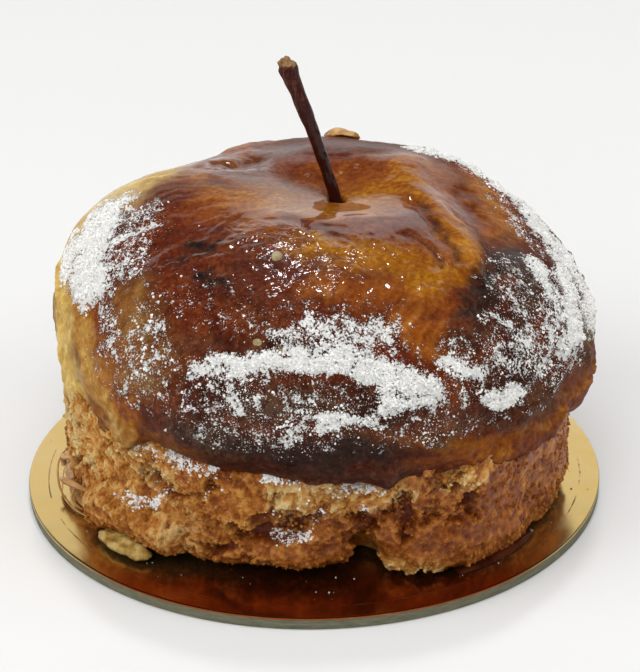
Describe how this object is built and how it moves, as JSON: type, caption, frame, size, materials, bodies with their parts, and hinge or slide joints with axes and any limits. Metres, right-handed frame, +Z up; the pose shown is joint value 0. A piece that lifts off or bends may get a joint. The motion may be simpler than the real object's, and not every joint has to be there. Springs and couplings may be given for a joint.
{
  "type": "tarte tatin",
  "caption": "Individual tarte tatin: a whole caramelised apple with its stalk on a thick crumbly crust, dusted with sugar, on a round gilt card.",
  "frame": {"origin": "centre of the card's underside, on the surface it stands on", "axes": "+Z up, -Y towards the front, +X to the right as seen from the front"},
  "size_m": [0.09, 0.09, 0.0693],
  "materials": {
    "gilt_card": "gold foil laminated on one side of grey board",
    "baked_crust": "rough and crumbly",
    "caramelised_apple": "wet caramel glaze",
    "stalk_bark": "matt",
    "apple_flesh": "moist"
  },
  "bodies": {
    "root": {"card": "gilt_card", "crust": "baked_crust", "apple": "caramelised_apple", "stalk": "stalk_bark", "apple_sliver": "apple_flesh", "apple_scrap": "apple_flesh"}
  },
  "joints": []
}
